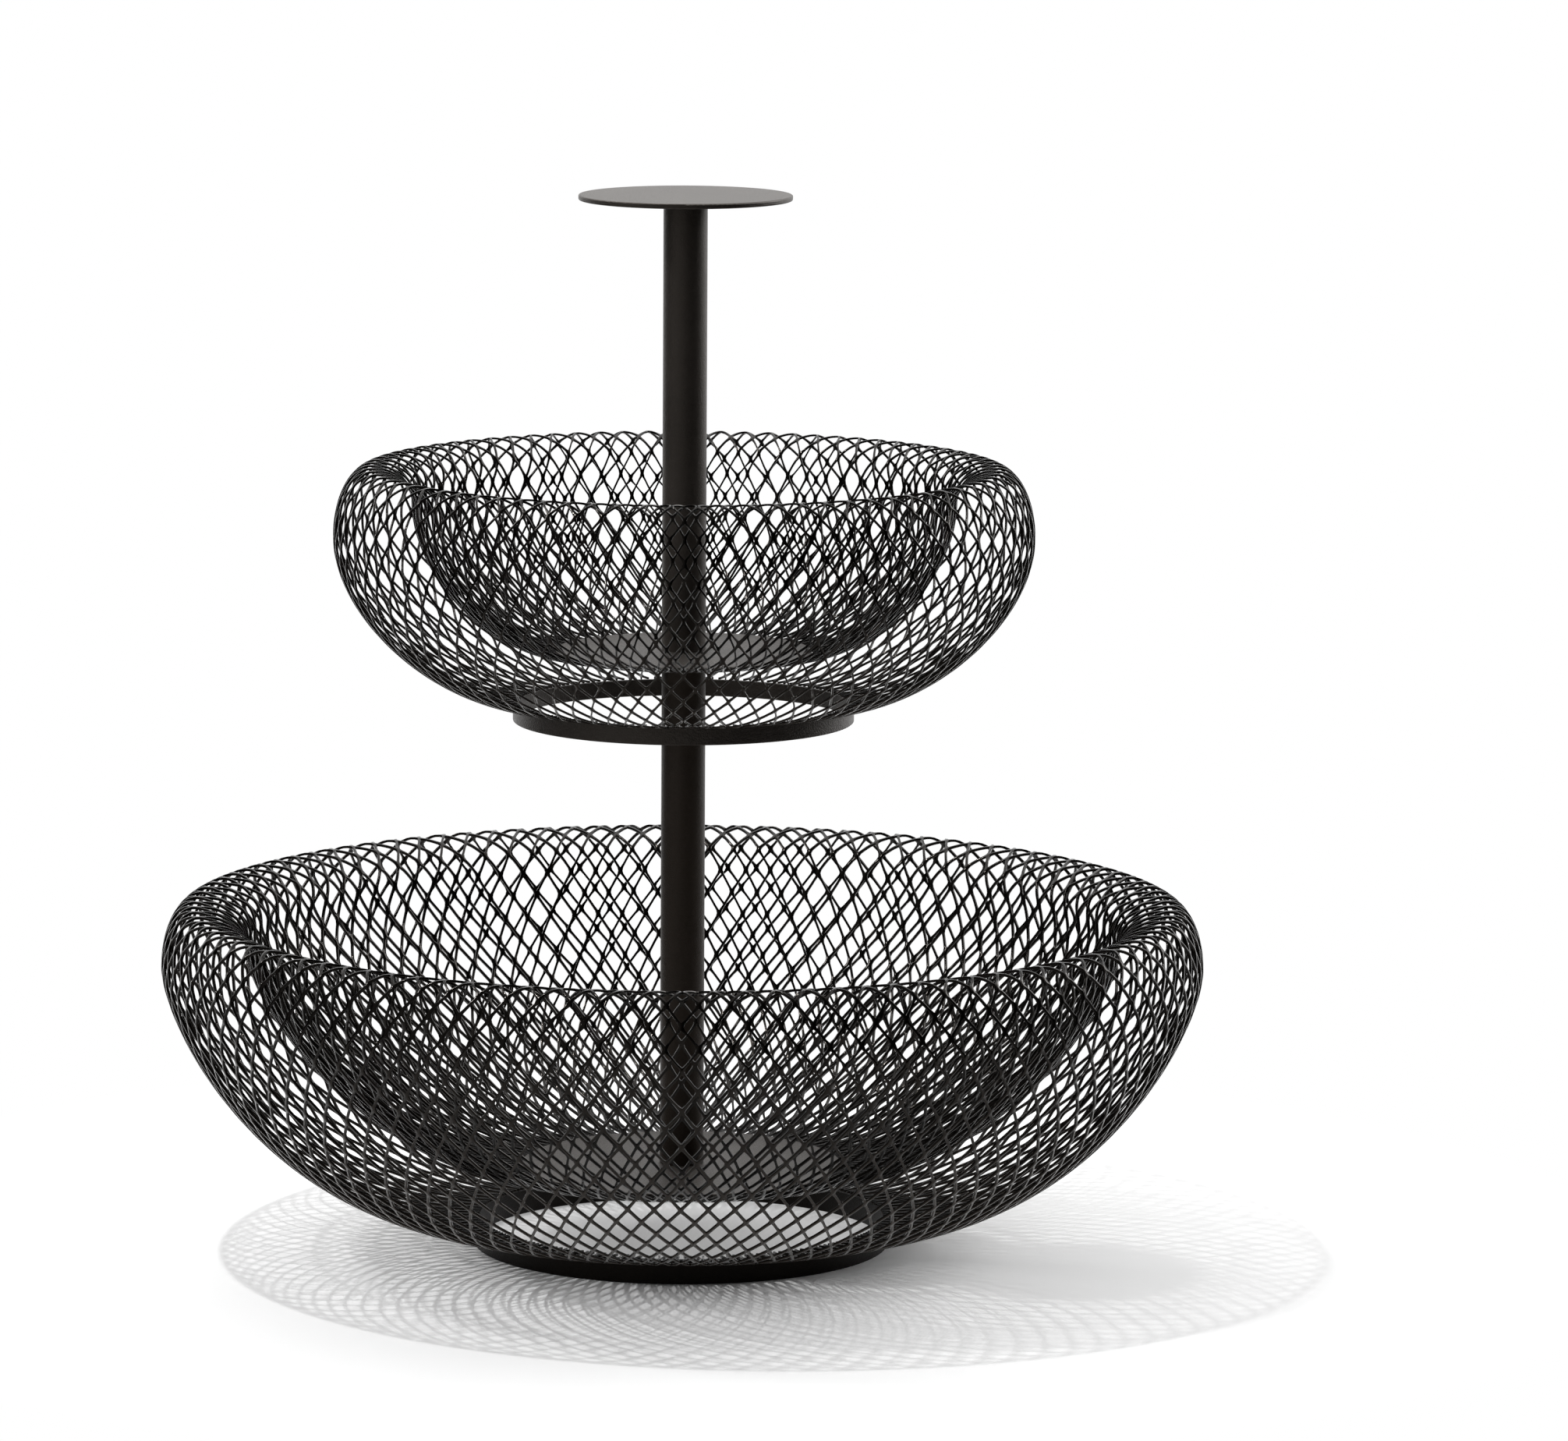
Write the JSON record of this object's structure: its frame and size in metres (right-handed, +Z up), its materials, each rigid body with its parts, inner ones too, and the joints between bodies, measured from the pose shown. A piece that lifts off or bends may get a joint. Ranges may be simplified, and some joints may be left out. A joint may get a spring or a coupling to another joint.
{
  "type": "tiered wire basket",
  "caption": "Black wire-mesh serving stand: a small double-walled bowl above a large one on a screwed column, with a flat round disc as carrying handle.",
  "frame": {"origin": "on the floor, at the middle of the underside of the lower foot ring", "axes": "+Z up along the column; X and Y level, with no preferred direction because the part is round"},
  "size_m": [0.3, 0.3, 0.303],
  "materials": {
    "mesh_coat": "satin black powder coat on expanded steel mesh",
    "black_coat": "satin black powder coat on sheet steel",
    "column_coat": "fine-textured matt black powder coat on steel",
    "plain_steel": "zinc-plated steel hardware"
  },
  "bodies": {
    "base": {"lower_foot_ring": "black_coat", "lower_basket_mesh": "mesh_coat", "lower_basket_plate": "black_coat", "base_washer": "plain_steel", "base_screw": "plain_steel", "lower_column_tube": "column_coat", "lower_tube_bottom_bush": "plain_steel", "lower_tube_top_bush": "plain_steel"},
    "upper_basket": {"upper_foot_ring": "black_coat", "upper_basket_mesh": "mesh_coat", "upper_basket_plate": "black_coat"},
    "handle": {"joining_stud": "plain_steel", "upper_column_tube": "column_coat", "upper_tube_bush": "plain_steel", "handle_spigot": "plain_steel", "handle_disc": "column_coat"}
  },
  "joints": [
    {"name": "upper_tier_turn", "type": "hinge", "parent": "base", "child": "upper_basket", "pos_m": [0, 0, 0.171], "axis": [0, 0, 1], "range_deg": [0, 3600]},
    {"name": "handle_rise", "type": "slide", "parent": "upper_basket", "child": "handle", "axis": [0, 0, 1], "range_m": [0, 0.0101]}
  ],
  "couplings": [
    {"joint": "handle_rise", "follows": "upper_tier_turn", "m_per_rad": 0.00015915}
  ]
}
